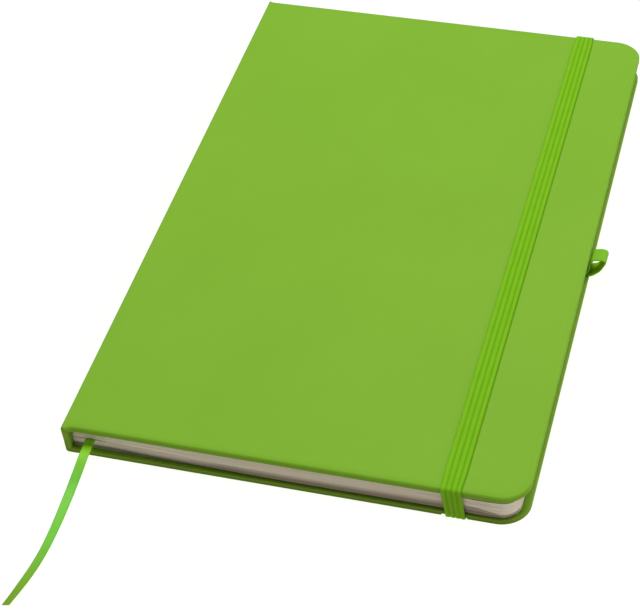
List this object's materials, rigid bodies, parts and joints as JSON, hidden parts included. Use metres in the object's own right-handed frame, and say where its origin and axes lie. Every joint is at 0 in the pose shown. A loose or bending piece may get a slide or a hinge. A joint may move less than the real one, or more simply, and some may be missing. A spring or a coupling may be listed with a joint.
{
  "type": "hardcover notebook",
  "caption": "Closed hardcover notebook with rounded fore-edge corners, a soft-touch green cover, an elastic closure round the front, a pen loop on the fore-edge and a ribbon bookmark.",
  "frame": {"origin": "under the middle of the notebook, on the outer face of the back cover that it lies on", "axes": "+X from the spine to the fore-edge, +Y from the tail to the head, +Z from the back cover up to the front cover"},
  "size_m": [0.1356, 0.2666, 0.011],
  "materials": {
    "cover_skin": "smooth matte soft-touch coated covering",
    "board": "grey board",
    "endpaper": "plain cream endpaper",
    "pages": "trimmed cream page edges",
    "lining": "open-weave cotton cloth, glued",
    "elastic": "ribbed woven elastic",
    "loop_elastic": "flat woven elastic",
    "ribbon": "satin ribbon"
  },
  "bodies": {
    "book_block": {"text_block": "pages", "front_flyleaf": "endpaper", "back_flyleaf": "endpaper", "spine_lining": "lining", "spine_board": "board", "spine_skin": "cover_skin", "bookmark_ribbon_inner": "ribbon", "bookmark_ribbon": "ribbon"},
    "front_cover": {"front_cover_skin": "cover_skin", "front_board": "board", "front_pastedown": "endpaper"},
    "back_cover": {"back_cover_skin": "cover_skin", "back_board": "board", "back_pastedown": "endpaper", "pen_loop": "loop_elastic"},
    "elastic_band": {"elastic_closure": "elastic"}
  },
  "joints": [
    {"name": "front_cover_hinge", "type": "hinge", "parent": "book_block", "child": "front_cover", "pos_m": [-0.0668, 0, 0.0094], "axis": [0, -1, 0], "range_deg": [0, 180]},
    {"name": "back_cover_hinge", "type": "hinge", "parent": "book_block", "child": "back_cover", "pos_m": [-0.0668, 0, 0.001], "axis": [0, 1, 0], "range_deg": [0, 180]},
    {"name": "elastic_slip", "type": "hinge", "parent": "back_cover", "child": "elastic_band", "pos_m": [0.04305, 0, 0.00033], "axis": [0, 1, 0], "range_deg": [0, 180], "deforming": ["elastic_closure"]}
  ],
  "couplings": [
    {"joint": "elastic_slip", "follows": "front_cover_hinge", "ratio": 1}
  ]
}
